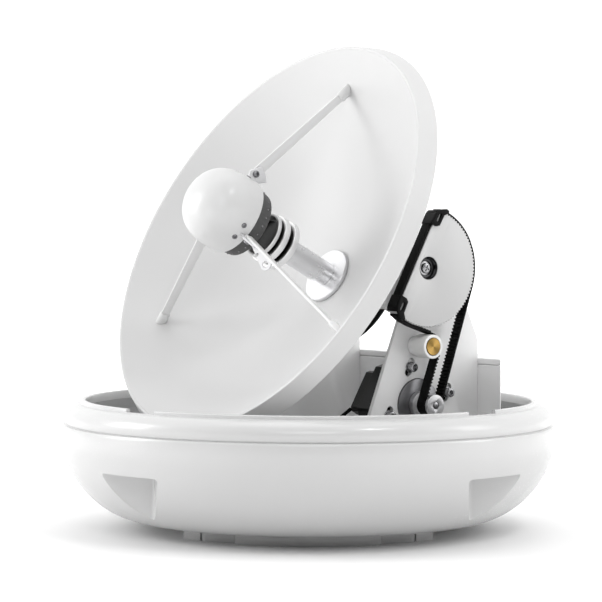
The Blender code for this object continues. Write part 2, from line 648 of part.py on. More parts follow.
def make_pivot(materials, pivot):
    """The yoke behind the dish, its shafts in the side plates, and the receiver."""
    along_dish, above_dish = rim_offset()
    hub_back = along_dish - DISH_DEPTH - DISH_THICKNESS - 0.0090
    plate_front = hub_back - GAP
    plate_back = plate_front - 0.0040
    ear_inner, ear_outer = 0.0725, 0.0765
    low, high = above_dish - 0.021, above_dish + 0.021
    middle = (ear_inner + ear_outer) / 2
    white = materials["painted_white"]
    yoke = slab("yoke_plate", [(-middle, low), (middle, low), (middle, high), (-middle, high)], plate_back,
                plate_front, white, pivot)
    for name, side in (("near", 1), ("far", -1)):
        outline = arc((0, 0), 0.012, -80, 100, 12) + [(low, plate_front), (low, plate_back - 0.006)]
        start, end = (ear_inner, ear_outer) if side > 0 else (-ear_outer, -ear_inner)
        cut(yoke, slab("yoke_ear_" + name, outline, start, end, white, pivot, SIDEWAYS), "UNION")
        shaft_end = 0.1030 if side > 0 else PLATE_OUTER + 0.0050
        profile = [(0, ear_outer + GAP), (0.0060, ear_outer + GAP), (0.0060, shaft_end), (0, shaft_end)]
        turned("pivot_shaft_" + name, profile, materials["grey_metal"], pivot, 24, False,
               Matrix.Rotation(side * pi / 2, 4, "Y"))
    bush_in, bush_out = 0.0060 + GAP, SECTOR_BORE - GAP
    turned("sector_bush", [(bush_in, 0.0985), (bush_out, 0.0985), (bush_out, 0.1040), (bush_in, 0.1040)],
           materials["dark_steel"], pivot, 32, True, Matrix.Rotation(pi / 2, 4, "Y"))
    back = plate_back - GAP
    can = [(0, back), (0.052, back), (0.052, back - 0.0160), (0.049, back - 0.0190), (0, back - 0.0190)]
    place = Matrix.Translation((0, above_dish, 0))
    turned("receiver", can, materials["black_paint"], pivot, 40, False, place)


def rim_offset():
    """The rim's centre from the pivot, along the dish's line of sight and up its face."""
    tilt = radians(ELEVATION)
    ahead, up = RIM_AHEAD + PIVOT_BEHIND, RIM_HEIGHT - PIVOT_HEIGHT
    return ahead * cos(tilt) + up * sin(tilt), up * cos(tilt) - ahead * sin(tilt)


def main():
    clear_scene()
    materials = {
        "gloss_white": make_material("gloss_white", (0.86, 0.86, 0.86), 0.25),
        "painted_white": make_material("painted_white", (0.80, 0.80, 0.80), 0.45),
        "dish_white": make_material("dish_white", (0.84, 0.84, 0.84), 0.40),
        "feed_white": make_material("feed_white", (0.86, 0.86, 0.86), 0.30),
        "dome_white": make_material("dome_white", (0.85, 0.85, 0.85), 0.25),
        "nylon_white": make_material("nylon_white", (0.88, 0.88, 0.87), 0.40),
        "sector_white": make_material("sector_white", (0.72, 0.72, 0.72), 0.50),
        "dark_grey": make_material("dark_grey", (0.13, 0.13, 0.13), 0.45),
        "housing_white": make_material("housing_white", (0.86, 0.86, 0.86), 0.45),
        "black_plastic": make_material("black_plastic", (0.02, 0.02, 0.02), 0.45),
        "black_paint": make_material("black_paint", (0.02, 0.02, 0.02), 0.40),
        "black_rubber": make_material("black_rubber", (0.015, 0.015, 0.015), 0.70),
        "dark_steel": make_material("dark_steel", (0.20, 0.20, 0.21), 0.35, 1.0),
        "grey_metal": make_material("grey_metal", (0.55, 0.55, 0.56), 0.35, 1.0),
        "aluminium": make_material("aluminium", (0.75, 0.75, 0.76), 0.30, 1.0),
        "brass": make_material("brass", (0.76, 0.56, 0.24), 0.25, 1.0),
    }
    frame = add_empty("azimuth_axis", None, (0, 0, 0), (0, 0, -radians(AZIMUTH)))
    tilt = (radians(90 - ELEVATION), 0, 0)
    pivot = add_empty("elevation_axis", frame, (0, PIVOT_BEHIND, PIVOT_HEIGHT), tilt)
    along_dish, above_dish = rim_offset()
    dish = add_empty("rim_centre", pivot, (0, above_dish, along_dish))
    pinion = add_empty("pinion_axis", frame, (0, MOTOR_BEHIND, MOTOR_HEIGHT))
    idler = add_empty("idler_axis", frame, (0, IDLER_BEHIND, IDLER_HEIGHT))

    make_base(materials)
    make_frame(materials, frame)
    make_belt(materials, frame)
    make_pinion(materials, pinion)
    make_idler_roller(materials, idler)
    make_pivot(materials, pivot)
    make_sector(materials, pivot)
    make_reflector(materials, dish)
    make_feed(materials, dish)
    make_struts(materials, dish)


main()
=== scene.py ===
import bpy, bmesh
from math import acos, atan2, cos, hypot, pi, radians, sin, tau
from mathutils import Matrix, Vector


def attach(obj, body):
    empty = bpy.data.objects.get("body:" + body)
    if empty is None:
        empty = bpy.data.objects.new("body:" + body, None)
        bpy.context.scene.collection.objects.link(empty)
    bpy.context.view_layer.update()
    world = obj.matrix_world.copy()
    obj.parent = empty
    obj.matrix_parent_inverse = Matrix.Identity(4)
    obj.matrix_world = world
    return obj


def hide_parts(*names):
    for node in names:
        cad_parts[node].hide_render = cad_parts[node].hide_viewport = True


# A marine satellite antenna without its cover. Metres, with the base's front towards -Y.
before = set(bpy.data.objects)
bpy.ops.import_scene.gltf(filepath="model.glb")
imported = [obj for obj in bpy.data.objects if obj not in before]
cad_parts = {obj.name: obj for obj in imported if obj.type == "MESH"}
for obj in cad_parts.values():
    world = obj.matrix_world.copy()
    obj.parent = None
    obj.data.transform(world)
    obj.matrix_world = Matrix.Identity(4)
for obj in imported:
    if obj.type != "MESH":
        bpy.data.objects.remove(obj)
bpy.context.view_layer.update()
print("frame loaded:", len(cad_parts), "nodes")

pose = {"azimuth": 53.9, "elevation": 27.7}
pivot = {"behind": 0.0474, "height": 0.2294}
rimCentre = {"above": -0.0203, "along": 0.09935}  # from the pivot, up the dish and along its line of sight
motorAxis = {"behind": 0.0530, "height": 0.1120}
idlerAxis = {"behind": 0.0498, "height": 0.1625}

turned = Matrix.Rotation(-radians(pose["azimuth"]), 4, "Z")
pivotPlace = turned @ Matrix.Translation((0, pivot["behind"], pivot["height"])) \
    @ Matrix.Rotation(radians(90 - pose["elevation"]), 4, "X")
dishPlace = pivotPlace @ Matrix.Translation((0, rimCentre["above"], rimCentre["along"]))
sideways = Matrix(((0, 0, 1, 0), (1, 0, 0, 0), (0, 1, 0, 0), (0, 0, 0, 1)))
lyingAcross = Matrix.Rotation(pi / 2, 4, "Y")


def axlePlace(axis):
    return turned @ Matrix.Translation((0, axis["behind"], axis["height"])) @ lyingAcross


def setCamera():
    shot = {"from": (-0.0069, -2.1989, 0.2690), "down": 1.8214, "roll": 0.2443, "lens": 150.11}
    bpy.ops.object.camera_add(location=shot["from"])
    camera = bpy.context.object
    camera.name = "photoCamera"
    camera.rotation_mode = "QUATERNION"
    level = Matrix.Rotation(radians(90 - shot["down"]), 4, "X")
    camera.rotation_quaternion = (level @ Matrix.Rotation(radians(shot["roll"]), 4, "Z")).to_quaternion()
    camera.data.lens = shot["lens"]
    camera.data.sensor_width = 36
    camera.data.clip_end = 50
    bpy.context.scene.camera = camera


def addSoftbox(name, place, aim, size, power):
    bpy.ops.object.light_add(type="AREA", location=place)
    lamp = bpy.context.object
    lamp.name = name
    lamp.rotation_mode = "QUATERNION"
    lamp.rotation_quaternion = (Vector(aim) - Vector(place)).to_track_quat("-Z", "Y")
    lamp.data.shape = "RECTANGLE"
    lamp.data.size, lamp.data.size_y = size
    lamp.data.energy = power


def setStudio():
    air = {"front": 0.0, "side": 1.30, "back": 1.17}  # brightness behind the camera, beside it and ahead
    world = bpy.data.worlds.new("studioAir")
    world.use_nodes = True
    tree = world.node_tree
    where = tree.nodes.new("ShaderNodeTexCoord")
    split = tree.nodes.new("ShaderNodeSeparateXYZ")
    range01 = tree.nodes.new("ShaderNodeMapRange")
    range01.inputs["From Min"].default_value = -1
    ramp = tree.nodes.new("ShaderNodeValToRGB")
    for place, level in ((0.0, air["front"]), (0.5, air["side"]), (0.9, air["back"])):
        element = ramp.color_ramp.elements.new(place)
        element.color = (level, level, level, 1)
    ramp.color_ramp.elements.remove(ramp.color_ramp.elements[0])
    ramp.color_ramp.elements[-1].color = (air["back"], air["back"], air["back"], 1)
    tree.links.new(where.outputs["Generated"], split.inputs[0])
    tree.links.new(split.outputs["Y"], range01.inputs["Value"])
    tree.links.new(range01.outputs[0], ramp.inputs[0])
    tree.links.new(ramp.outputs[0], tree.nodes["Background"].inputs["Color"])
    bpy.context.scene.world = world
    bpy.context.scene.view_settings.view_transform = "Standard"
    addSoftbox("left", (-2.1, 0.0, 0.8), (0, 0, 0.2), (0.9, 1.2), 19.3)
    addSoftbox("overhead", (0.1, 0.2, 2.3), (0, 0, 0.15), (1.6, 1.6), 6.2)
    addSoftbox("plateKey", (0.77, -1.05, 1.60), (0, 0, 0.16), (0.3, 0.3), 4.6)
    addSoftbox("right", (2.0, -0.3, 0.9), (0, 0, 0.2), (0.7, 1.2), 8.0)
    addSoftbox("front", (0.0, -2.4, 1.3), (0, 0, 0.2), (1.2, 0.8), 9.0)


class Wire:
    def __init__(self, paint, socket):
        self.paint = paint
        self.socket = socket

    def sum(self, operation, *values):
        return self.paint.node("ShaderNodeMath", {"operation": operation}, *values)

    def __add__(self, other):
        return self.sum("ADD", self, other)

    def __sub__(self, other):
        return self.sum("SUBTRACT", self, other)

    def __rsub__(self, other):
        return self.sum("SUBTRACT", other, self)

    def __mul__(self, other):
        return self.sum("MULTIPLY", self, other)

    def __truediv__(self, other):
        return self.sum("DIVIDE", self, other)

    def __rtruediv__(self, other):
        return self.sum("DIVIDE", other, self)

    def __pow__(self, other):
        return self.sum("POWER", self, other)

    __radd__ = __add__
    __rmul__ = __mul__


class Paint:
    def __init__(self, name, **constants):
        self.material = bpy.data.materials.new(name)
        self.material.use_nodes = True
        self.tree = self.material.node_tree
        self.shader = self.tree.nodes["Principled BSDF"]
        for socket, value in constants.items():
            self.shader.inputs[socket.replace("_", " ")].default_value = value

    def node(self, kind, settings, *values, out=0, **named):
        made = self.tree.nodes.new(kind)
        for key, value in settings.items():
            if key == "stops":
                self.setStops(made.color_ramp, value)
            else:
                setattr(made, key, value)
        for key, value in [*enumerate(values), *((k.replace("_", " "), v) for k, v in named.items())]:
            if isinstance(value, Wire):
                self.tree.links.new(value.socket, made.inputs[key])
            else:
                made.inputs[key].default_value = value
        return Wire(self, made.outputs[out])

    def setStops(self, ramp, stops):
        while len(ramp.elements) < len(stops):
            ramp.elements.new(0.5)
        for element, (place, shade) in zip(ramp.elements, stops):
            element.position = place
            element.color = (*shade, 1) if isinstance(shade, tuple) else (shade, shade, shade, 1)

    def feed(self, socket, wire):
        self.tree.links.new(wire.socket, self.shader.inputs[socket])

    def place(self, matrix=None):
        where = self.node("ShaderNodeTexCoord", {}, out="Object")
        if matrix is None:
            return where
        inverse = matrix.inverted()
        return self.node("ShaderNodeMapping", {}, where, Location=inverse.translation,
                         Rotation=inverse.to_euler())

    def noise(self, where, scale, detail=2.0, roughness=0.5):
        return self.node("ShaderNodeTexNoise", {}, where, Scale=scale, Detail=detail, Roughness=roughness)

    def ramp(self, wire, stops):
        return self.node("ShaderNodeValToRGB", {"stops": stops}, wire)

    def mixColours(self, amount, first, second):
        made = self.tree.nodes.new("ShaderNodeMix")
        made.data_type = "RGBA"
        for key, value in ((0, amount), (6, first), (7, second)):
            if isinstance(value, Wire):
                self.tree.links.new(value.socket, made.inputs[key])
            else:
                made.inputs[key].default_value = value if key == 0 else (*value, 1)
        return Wire(self, made.outputs[2])

    def bump(self, height, strength, distance):
        self.feed("Normal", self.node("ShaderNodeBump", {}, Strength=strength, Distance=distance,
                                      Height=height))

    def across(self, matrix):
        split = self.tree.nodes.new("ShaderNodeSeparateXYZ")
        self.tree.links.new(self.place(matrix).socket, split.inputs[0])
        return Wire(self, split.outputs[0]), Wire(self, split.outputs[1])

    # Angle round the axis, used to paint reflection as dark and bright sectors on turned faces
    def paintedFanReflection(self, matrix):
        x, y = self.across(matrix)
        return x * y / (x * x + y * y + 1e-9) + 0.5

    def fromAxis(self, matrix):
        x, y = self.across(matrix)
        return (x * x + y * y) ** 0.5


def whiteFinish(name, shade, rough, grain, grainSize, blotch=0.010, coat=0.0, metal=0.0):
    paint = Paint(name, Coat_Weight=coat, Coat_Roughness=0.05, Metallic=metal)
    where = paint.place()
    cloud = paint.noise(where, 9.0, 3.0)
    light = tuple(c + blotch for c in shade)
    dark = tuple(c - blotch for c in shade)
    paint.feed("Base Color", paint.mixColours(cloud, dark, light))
    fine = paint.noise(where, grainSize, 2.0, 0.6)
    paint.feed("Roughness", fine * 0.08 + (rough - 0.04) + cloud * 0.03)
    paint.bump(fine, 0.35, grain)
    return paint.material


def ringMetal(name, shade, rough, matrix, pitch=0.00035, contrast=0.12, fanReflection=0.0):
    paint = Paint(name, Metallic=1.0)
    radius = paint.fromAxis(matrix)
    turns = radius * (tau / pitch)
    rings = turns.sum("SINE", turns) * 0.5 + 0.5
    cloud = paint.noise(paint.place(), 120.0, 2.0)
    dark = tuple(c * (1 - contrast) for c in shade)
    colour = paint.mixColours(rings * 0.6 + cloud * 0.4, dark, shade)
    # Painted reflection: base colour darkened in sectors round the axis, standing in for the radial
    # highlights of turned brass
    if fanReflection:
        colour = paint.mixColours(paint.paintedFanReflection(matrix) * fanReflection, colour, tuple(c * 0.30 for c in shade))
    paint.feed("Base Color", colour)
    paint.feed("Roughness", rings * 0.08 + cloud * 0.06 + (rough - 0.07))
    paint.bump(rings, 0.25, 0.00003)
    return paint.material


def hornPaintedShade():
    paint = Paint("hornMetalPaintedShade", Metallic=1.0)  # bright rings, painted dark between them and in the mouth as painted shade
    radius = paint.fromAxis(dishPlace)
    cloud = paint.noise(paint.place(), 300.0, 2.0)
    paintedShadeStops = [(0.60, 0.03), (0.72, 0.10), (0.80, 0.45), (0.86, 0.88)]
    paint.feed("Base Color", paint.ramp(radius * 40 + cloud * 0.02, paintedShadeStops))
    paint.feed("Roughness", cloud * 0.08 + 0.26)
    paint.bump(cloud, 0.1, 0.00003)
    return paint.material


def plainMetal(name, shade, rough, scale=400.0, contrast=0.15):
    paint = Paint(name, Metallic=1.0)
    where = paint.place()
    cloud = paint.noise(where, scale, 3.0)
    dark = tuple(c * (1 - contrast) for c in shade)
    paint.feed("Base Color", paint.mixColours(cloud, dark, shade))
    paint.feed("Roughness", cloud * 0.12 + (rough - 0.06))
    paint.bump(cloud, 0.15, 0.00003)
    return paint.material


def darkFinish(name, shade, rough, scale, depth):
    paint = Paint(name, Specular_IOR_Level=0.07)
    where = paint.place()
    grain = paint.noise(where, scale, 3.0, 0.6)
    dust = paint.noise(where, 40.0, 4.0, 0.7)
    pale = tuple(c + 0.005 for c in shade)
    paint.feed("Base Color", paint.mixColours(dust, shade, pale))
    paint.feed("Roughness", grain * 0.16 + (rough - 0.08))
    paint.bump(grain, 0.4, depth)
    return paint.material


finish = {
    "hull": whiteFinish("hullWhite", (0.595, 0.595, 0.595), 0.24, 0.00002, 900.0, 0.006, 0.25),
    "dish": whiteFinish("dishWhite", (0.60, 0.60, 0.60), 0.38, 0.00003, 1400.0, 0.008),
    "plate": whiteFinish("plateWhite", (0.79, 0.79, 0.79), 0.42, 0.00004, 1600.0, 0.012),
    "feed": whiteFinish("feedWhite", (0.67, 0.67, 0.67), 0.34, 0.00002, 1500.0, 0.006),
    "dome": whiteFinish("domeWhite", (0.62, 0.62, 0.62), 0.30, 0.00001, 1100.0, 0.005, 0.08),
    "nylon": whiteFinish("nylonWhite", (0.78, 0.78, 0.77), 0.40, 0.00002, 1800.0, 0.008),
    "sector": whiteFinish("sectorGrey", (0.50, 0.50, 0.50), 0.45, 0.00003, 1500.0, 0.015),
    "greyPlate": darkFinish("subreflectorGrey", (0.085, 0.085, 0.085), 0.40, 900.0, 0.00003),
    "blackPaint": darkFinish("blackPaint", (0.006, 0.006, 0.006), 0.40, 1500.0, 0.00003),
    "blackPlastic": darkFinish("blackPlastic", (0.003, 0.003, 0.003), 0.45, 1800.0, 0.00003),
    "rubber": darkFinish("beltRubber", (0.003, 0.003, 0.003), 0.62, 2600.0, 0.00005),
    "satin": whiteFinish("satinAluminium", (0.70, 0.70, 0.71), 0.34, 0.00001, 1500.0, 0.010, 0.0, 0.55),
    # Housing and lid white is brighter than the plate's white: painted light for the light falling on the
    # rear housing and its lid
    "housing": whiteFinish("housingWhitePaintedLight", (0.94, 0.94, 0.94), 0.45, 0.00004, 1600.0, 0.010),
    "lid": whiteFinish("lidWhitePaintedLight", (0.95, 0.95, 0.95), 0.40, 0.00004, 1600.0, 0.008),
    "screw": plainMetal("darkScrew", (0.24, 0.24, 0.25), 0.28),
    "feedMetal": ringMetal("feedMetal", (0.76, 0.76, 0.77), 0.32, dishPlace, 0.0011, 0.04),
    "hornMetalPaintedShade": hornPaintedShade(),
    "steel": plainMetal("screwSteel", (0.34, 0.34, 0.35), 0.26, 900.0, 0.35),
    "darkSteel": ringMetal("pilotSteel", (0.24, 0.24, 0.25), 0.36, axlePlace(motorAxis)),
    "aluminium": ringMetal("pinionAluminium", (0.58, 0.58, 0.59), 0.42, axlePlace(motorAxis)),
    # near-black steel for the bush and its bore lining: painted shade, darker than the steel itself
    "boreSteelPaintedShade": plainMetal("boreSteelPaintedShade", (0.05, 0.05, 0.052), 0.30),
    "greyMetal": plainMetal("bearingSteel", (0.50, 0.50, 0.51), 0.32),
    # brass carries painted reflection in dark sectors round the idler axis
    "brass": ringMetal("turnedBrass", (0.52, 0.33, 0.10), 0.32, axlePlace(idlerAxis), 0.0005, 0.45, 0.95),
}
print("materials:", len(finish))


def deselectAll():
    if bpy.context.mode != "OBJECT":
        bpy.ops.object.mode_set(mode="OBJECT")
    bpy.ops.object.select_all(action="DESELECT")


def pickOnly(thing):
    deselectAll()
    thing.select_set(True)
    bpy.context.view_layer.objects.active = thing


def selectIn(thing, test, kind="verts"):
    shape = bmesh.from_edit_mesh(thing.data)
    for item in [*shape.verts, *shape.edges, *shape.faces]:
        item.select_set(False)
    shape.select_mode = {"VERT"} if kind == "verts" else {"FACE"}
    for item in getattr(shape, kind):
        if test(item):
            item.select_set(True)
    shape.select_flush_mode()
    bmesh.update_edit_mesh(thing.data)


def turn(name, profile, segments=96, ring=False):
    starts = profile[0][0] == 0
    (radius, height), *rest = profile[1:] if starts else profile
    deselectAll()
    bpy.ops.mesh.primitive_circle_add(vertices=segments, radius=radius, location=(0, 0, height))
    thing = bpy.context.object
    thing.name = name
    bpy.ops.object.transform_apply()
    bpy.ops.object.mode_set(mode="EDIT")
    if ring:
        rest.append((radius, height))
    for nextRadius, nextHeight in rest:
        bpy.ops.mesh.extrude_region_move(TRANSFORM_OT_translate={"value": (0, 0, nextHeight - height)})
        if nextRadius == 0:
            bpy.ops.mesh.merge(type="CENTER")
            break
        share = nextRadius / radius
        bpy.ops.transform.resize(value=(share, share, 1), center_override=(0, 0, nextHeight))
        radius, height = nextRadius, nextHeight
    else:
        if not ring:
            bpy.ops.mesh.edge_face_add()
    if not ring:
        selectIn(thing, lambda v: v.index < segments)
        if starts:
            bpy.ops.mesh.extrude_region_move(
                TRANSFORM_OT_translate={"value": (0, 0, profile[0][1] - profile[1][1])})
            bpy.ops.mesh.merge(type="CENTER")
        else:
            bpy.ops.mesh.edge_face_add()
    closeUp()
    return thing


def closeUp():
    bpy.ops.mesh.select_all(action="SELECT")
    bpy.ops.mesh.remove_doubles(threshold=0.000002)
    bpy.ops.mesh.normals_make_consistent(inside=False)
    bpy.ops.object.mode_set(mode="OBJECT")


def plate(name, outline, low, high):
    deselectAll()
    bpy.ops.mesh.primitive_circle_add(vertices=len(outline), radius=0.01, fill_type="NGON")
    thing = bpy.context.object
    thing.name = name
    for vertex, (x, y) in zip(thing.data.vertices, outline):
        vertex.co = (x, y, low)
    bpy.ops.object.mode_set(mode="EDIT")
    bpy.ops.mesh.select_all(action="SELECT")
    bpy.ops.mesh.extrude_region_move(TRANSFORM_OT_translate={"value": (0, 0, high - low)})
    closeUp()
    return thing


def block(name, low, high):
    deselectAll()
    middle = [(a + b) / 2 for a, b in zip(low, high)]
    bpy.ops.mesh.primitive_cube_add(size=1, location=middle)
    thing = bpy.context.object
    thing.name = name
    thing.scale = [b - a for a, b in zip(low, high)]
    bpy.ops.object.transform_apply()
    return thing


def copyNode(node):
    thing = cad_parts[node].copy()
    thing.data = thing.data.copy()
    thing.parent = None
    for key in list(thing.keys()):
        del thing[key]
    thing.name = node + "_made"
    bpy.context.scene.collection.objects.link(thing)
    pickOnly(thing)
    bpy.ops.object.mode_set(mode="EDIT")
    bpy.ops.mesh.select_all(action="SELECT")
    bpy.ops.mesh.remove_doubles(threshold=0.000002)
    bpy.ops.mesh.dissolve_limited(angle_limit=radians(1))
    bpy.ops.object.mode_set(mode="OBJECT")
    return thing


def move(thing, matrix):
    pickOnly(thing)
    thing.matrix_world = matrix
    bpy.ops.object.transform_apply()


def apply(thing, kind, **settings):
    pickOnly(thing)
    modifier = thing.modifiers.new(kind.title(), kind)
    for key, value in settings.items():
        setattr(modifier, key, value)
    bpy.ops.object.modifier_apply(modifier=modifier.name)


def soften(thing, width, segments=2, angle=30):
    apply(thing, "BEVEL", width=width, segments=segments, limit_method="ANGLE", angle_limit=radians(angle),
          harden_normals=False, use_clamp_overlap=True)


def cut(thing, cutter, operation="DIFFERENCE"):
    apply(thing, "BOOLEAN", object=cutter, operation=operation, solver="EXACT")
    bpy.data.objects.remove(cutter)


def joinAll(things, name):
    deselectAll()
    for thing in things:
        thing.select_set(True)
    bpy.context.view_layer.objects.active = things[0]
    bpy.ops.object.join()
    things[0].name = name
    return things[0]


def deliver(thing, body, material, nodes=(), place=None, smoothAngle=32):
    if place is not None:
        move(thing, place)
    pickOnly(thing)
    bpy.ops.object.shade_smooth_by_angle(angle=radians(smoothAngle))
    thing.data.materials.clear()
    thing.data.materials.append(finish[material])
    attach(thing, body)
    if nodes:
        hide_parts(*nodes)
    return thing


def arcPoints(centre, radius, start, end, count):
    angles = [radians(start + (end - start) * step / count) for step in range(count + 1)]
    return [(centre[0] + radius * cos(a), centre[1] + radius * sin(a)) for a in angles]


panShape = {
    "radius": 0.215, "curveWidth": 0.063, "curve": 1.7177, "widest": 0.0777, "bottom": 0.0105,
    "groove": 0.0922, "grooveWidth": 0.0010, "collar": 0.2124, "collarTop": 0.0985, "shoulderTop": 0.1100,
    "lipOuter": 0.1990, "lipInner": 0.1950, "lipTop": 0.1135, "wall": 0.004, "segments": 160,
}


def panCurve(inset, count):
    points = []
    for step in range(count + 1):
        angle = step / count * pi / 2
        out = max(cos(angle), 0) ** (2 / panShape["curve"])
        down = sin(angle) ** (2 / panShape["curve"])
        radius = panShape["radius"] - panShape["curveWidth"] - inset + panShape["curveWidth"] * out
        drop = panShape["widest"] - panShape["bottom"] - inset
        points.append((radius, panShape["widest"] - drop * down))
    return points


def makePan():
    s = panShape
    groove, wide = s["groove"], s["radius"]
    profile = [(0, s["bottom"])] + panCurve(0, 26)[::-1]
    profile += [(wide, groove - 0.0022), (wide - 0.0002, groove - 0.0012), (wide - 0.0007, groove - 0.0003),
                (wide - 0.0014, groove), (s["collar"] - 0.0003, groove + 0.0001),
                (s["collar"] - 0.0008, groove + 0.0005), (s["collar"] - 0.0003, groove + s["grooveWidth"]),
                (s["collar"], groove + s["grooveWidth"] + 0.0008)]
    tall, broad = s["shoulderTop"] - s["collarTop"], s["collar"] - s["lipOuter"]
    profile += [(s["collar"] - broad * (1 - cos(radians(a))), s["collarTop"] + tall * sin(radians(a)))
                for a in range(0, 89, 8)]
    profile += [(s["lipOuter"], s["shoulderTop"] + 0.0004), (s["lipOuter"], s["lipTop"] - 0.0010)]
    profile += [(s["lipOuter"] - 0.0010 * (1 - cos(a)), s["lipTop"] - 0.0010 + 0.0010 * sin(a))
                for a in (pi / 6, pi / 3, pi / 2)]
    profile += [(s["lipInner"] + 0.0010 * (1 - sin(a)), s["lipTop"] - 0.0010 + 0.0010 * cos(a))
                for a in (0.01, pi / 6, pi / 3, pi / 2)]
    profile += [(s["lipInner"], 0.1062), (s["lipInner"] + 0.0004, 0.1056),
                (s["collar"] - s["wall"] - 0.0008, 0.0960), (s["collar"] - s["wall"], 0.0950)]
    profile += panCurve(s["wall"], 20) + [(0, s["bottom"] + s["wall"])]
    pan = turn("pan", profile, s["segments"])
    for signX in (-1, 1):
        for signY in (-1, 1):
            cutPocket(pan, signX, signY)
    deliver(pan, "base", "hull", ["base_pan"])


def cutPocket(pan, signX, signY):
    pocket = {"angle": 46.4, "skew": 1.3, "corner": 0.180, "spread": radians(51.4), "top": 0.0595,
              "wall": 0.0035, "soft": 0.0032, "reach": 0.09}
    notch = {"angle": 45.15, "skew": 0.85, "half": 0.017}

    def facing(angle, skew):
        around = radians(angle + signX * skew)
        return Matrix.Rotation(atan2(signY * cos(around), signX * sin(around)), 4, "Z")

    def wedge(corner):
        across = pocket["reach"] * sin(pocket["spread"])
        out = corner + pocket["reach"] * cos(pocket["spread"])
        return [(corner, 0), (out, -across), (out, across)]

    place = facing(pocket["angle"], pocket["skew"])
    backing = plate("backing", wedge(pocket["corner"] - pocket["wall"] / sin(pocket["spread"])), 0,
                    pocket["top"] + pocket["wall"])
    move(backing, place)
    inside = [(0, panShape["bottom"] + 0.002)] + panCurve(0.002, 26)[::-1] + [(0, panShape["widest"])]
    core = turn("core", inside, 96)
    cut(backing, core, "INTERSECT")
    cut(pan, backing, "UNION")
    recess = plate("recess", wedge(pocket["corner"]), -0.012, pocket["top"])
    soften(recess, pocket["soft"], 5)
    move(recess, place)
    cut(pan, recess)
    low, high, half = panShape["shoulderTop"] + 0.0004, panShape["lipTop"] + 0.002, notch["half"]
    gap = plate("gap", [(-half, low), (half, low), (half, high), (-half, high)],
                panShape["lipInner"] - 0.010, panShape["lipOuter"] + 0.0005)
    soften(gap, 0.0005, 2)
    move(gap, facing(notch["angle"], notch["skew"]) @ sideways)
    cut(pan, gap)


def makeBase():
    makePan()
    for node in ("foot_plate", "foot_pad_left_front", "foot_pad_right_front", "foot_pad_left_rear",
                 "foot_pad_right_rear"):
        foot = copyNode(node)
        soften(foot, 0.0005, 2)
        deliver(foot, "base", "hull", [node])
    bearing = copyNode("azimuth_bearing")
    soften(bearing, 0.0005, 2)
    deliver(bearing, "base", "greyMetal", ["azimuth_bearing"])


dishShape = {"radius": 0.1835, "lip": 0.1868, "depth": 0.082, "thick": 0.0026, "bandDepth": 0.0143,
             "bandRadius": 0.1935, "segments": 180}


def dishFront(radius):
    return -dishShape["depth"] + dishShape["depth"] * (radius / dishShape["radius"]) ** 2


def dishBack(radius):
    return dishFront(radius) - dishShape["thick"] - 0.0022 * (radius / dishShape["radius"]) ** 2


def makeDish():
    s = dishShape
    steps = 26
    front = [(s["radius"] * k / steps, dishFront(s["radius"] * k / steps)) for k in range(steps + 1)]
    lip = [(s["radius"] + 0.0003, -0.0001), (s["radius"] + 0.0009, 0.0004), (s["radius"] + 0.0016, 0.0006),
           (s["lip"] - 0.0011, 0.0006), (s["lip"] - 0.0005, 0.0003), (s["lip"] - 0.0001, -0.0004),
           (s["lip"] + 0.0002, -0.0012)]
    band = [(s["bandRadius"] - 0.0003, -s["bandDepth"] + 0.0009),
            (s["bandRadius"], -s["bandDepth"] + 0.0002), (s["bandRadius"] - 0.0006, -s["bandDepth"]),
            (s["bandRadius"] - 0.0022, -s["bandDepth"]), (s["bandRadius"] - 0.0026, -s["bandDepth"] + 0.0003)]
    inner = s["radius"] + 0.0004
    back = [(inner * k / steps, dishBack(s["radius"] * k / steps)) for k in range(steps + 1)][::-1]
    dish = turn("reflector", front + lip + band + back, s["segments"])
    deliver(dish, "tilting_dish", "dish", ["dish_reflector"], dishPlace)
    hub = copyNode("dish_hub")
    soften(hub, 0.0008, 2)
    deliver(hub, "tilting_dish", "plate", ["dish_hub"])


def makeFeed():
    flange = {"radius": 0.0248, "low": dishFront(0.0248) + 0.0003, "thick": 0.0036}
    top = flange["low"] + flange["thick"]
    edge = turn("feedFlange", [(0, flange["low"]), (flange["radius"] - 0.0004, flange["low"]),
                               (flange["radius"], flange["low"] + 0.0004), (flange["radius"], top - 0.0005),
                               (flange["radius"] - 0.0005, top), (0.0128, top), (0.0126, top + 0.0002),
                               (0, top + 0.0002)], 96)
    deliver(edge, "tilting_dish", "feedMetal", ["feed_flange"], dishPlace)
    tube = turn("feedTube", [(0, top + 0.0003), (0.0108, top + 0.0003), (0.0108, -0.0242), (0.0105, -0.0238),
                             (0, -0.0238)], 64)
    deliver(tube, "tilting_dish", "feedMetal", ["feed_tube"], dishPlace)
    rings = ((0.0226, -0.0235, -0.0175), (0.0222, -0.0130, -0.0069), (0.0208, -0.0036, 0.0004))
    core = 0.0150
    profile = [(0, rings[0][1])]
    for number, (radius, low, high) in enumerate(rings):
        if number:
            profile.append((core, low))
        profile += [(radius - 0.0006, low), (radius - 0.0002, low + 0.0002), (radius, low + 0.0006),
                    (radius, high - 0.0006), (radius - 0.0002, high - 0.0002), (radius - 0.0006, high)]
        if number < 2:
            profile.append((core, high))
    profile += [(0.0185, 0.0004), (0.0150, -0.0052), (0, -0.0052)]
    horn = turn("feedHorn", profile, 96)
    deliver(horn, "tilting_dish", "hornMetalPaintedShade", ["feed_horn"], dishPlace)
    makeSubreflector()
    makeRivets()


